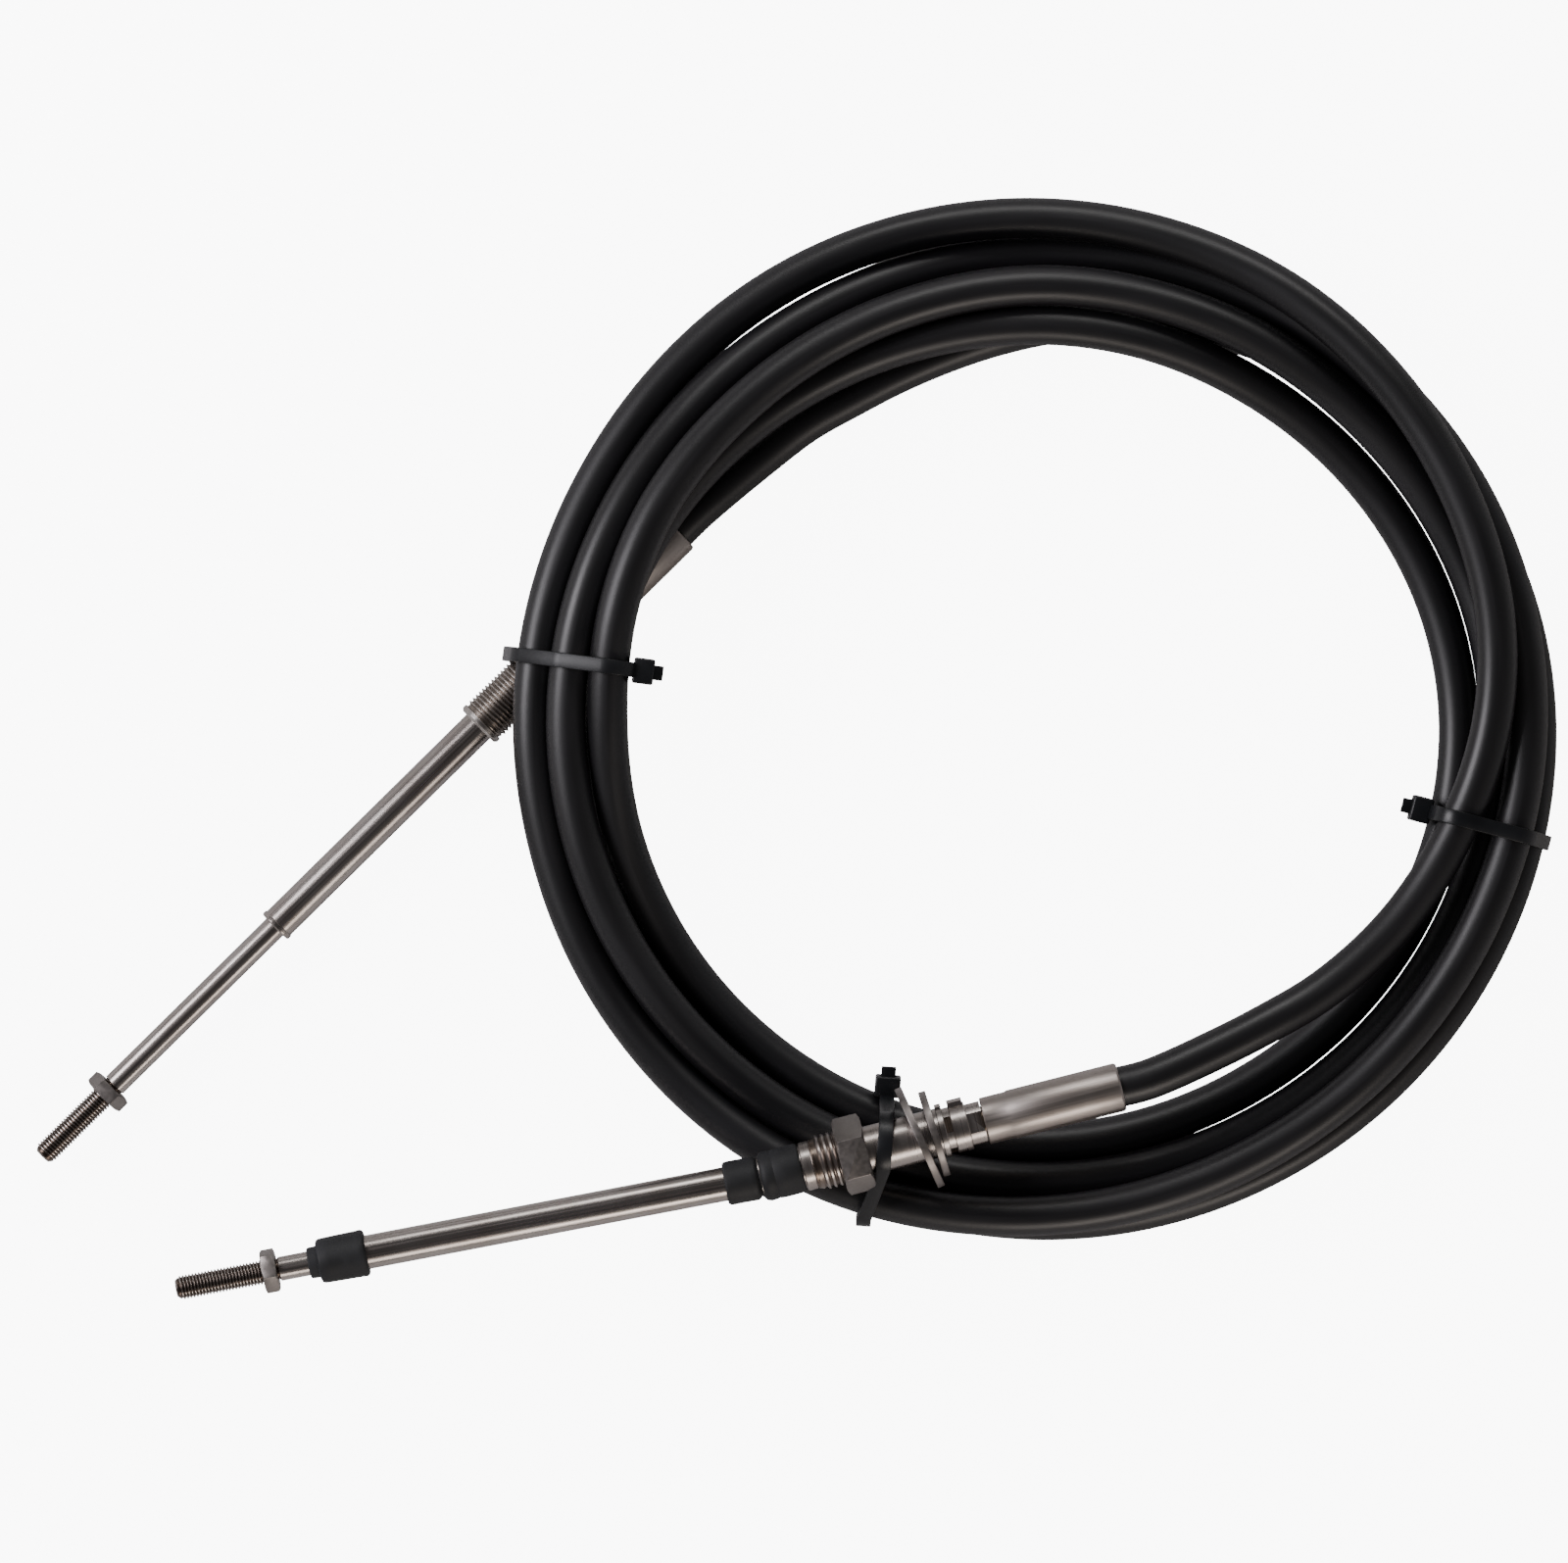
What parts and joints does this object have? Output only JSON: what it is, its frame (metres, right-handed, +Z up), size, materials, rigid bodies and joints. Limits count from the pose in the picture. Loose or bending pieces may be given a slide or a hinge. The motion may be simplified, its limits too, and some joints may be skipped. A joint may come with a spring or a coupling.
{
  "type": "boat steering cable",
  "caption": "Coiled push-pull control cable with a black jacket, crimped steel hubs, swivelling support tubes, sliding threaded rods and cable ties.",
  "frame": {"origin": "middle of the whole part's box, on the surface it lies on", "axes": "+Z up from the surface; +X from the rod ends towards the coil, along the longest side; +Y across the coil, away from the end that lies on top"},
  "size_m": [0.4981, 0.3586, 0.057],
  "materials": {
    "stainless_steel": "drawn and turned stainless steel with a soft shine",
    "jacket": "extruded black jacket, satin with soft highlights",
    "rubber": "moulded matte black rubber",
    "nylon": "black nylon, semi-gloss"
  },
  "bodies": {
    "coil": {"conduit": "jacket", "hub_a": "stainless_steel", "boot_rear_a": "rubber", "hull_nut": "stainless_steel", "clip_plate": "stainless_steel", "washer": "stainless_steel", "crimp_sleeve_a": "stainless_steel", "hub_b": "stainless_steel", "crimp_sleeve_b": "stainless_steel", "tie_left": "nylon", "tie_right": "nylon", "tie_bottom": "nylon"},
    "tube_a": {"support_tube_a": "stainless_steel", "rod_seal_a": "rubber", "boot_front_a": "rubber"},
    "rod_a": {"rod_a": "stainless_steel", "jam_nut_a": "stainless_steel"},
    "tube_b": {"support_tube_b": "stainless_steel"},
    "rod_b": {"rod_b": "stainless_steel", "jam_nut_b": "stainless_steel"}
  },
  "joints": [
    {"name": "swivel_a", "type": "hinge", "parent": "coil", "child": "tube_a", "pos_m": [-0.00853, -0.13882, 0.03951], "axis": [0, 0, 1], "range_deg": [-8, 8]},
    {"name": "rod_a_slide", "type": "slide", "parent": "tube_a", "child": "rod_a", "axis": [-0.9823, -0.1874, 0], "range_m": [0, 0.065]},
    {"name": "swivel_b", "type": "hinge", "parent": "coil", "child": "tube_b", "pos_m": [-0.09893, 0.01198, 0.01071], "axis": [0, 0, 1], "range_deg": [-8, 8]},
    {"name": "rod_b_slide", "type": "slide", "parent": "tube_b", "child": "rod_b", "axis": [-0.712, -0.7022, 0], "range_m": [-0.065, 0]}
  ],
  "couplings": [
    {"joint": "rod_b_slide", "follows": "rod_a_slide", "ratio": -1}
  ]
}
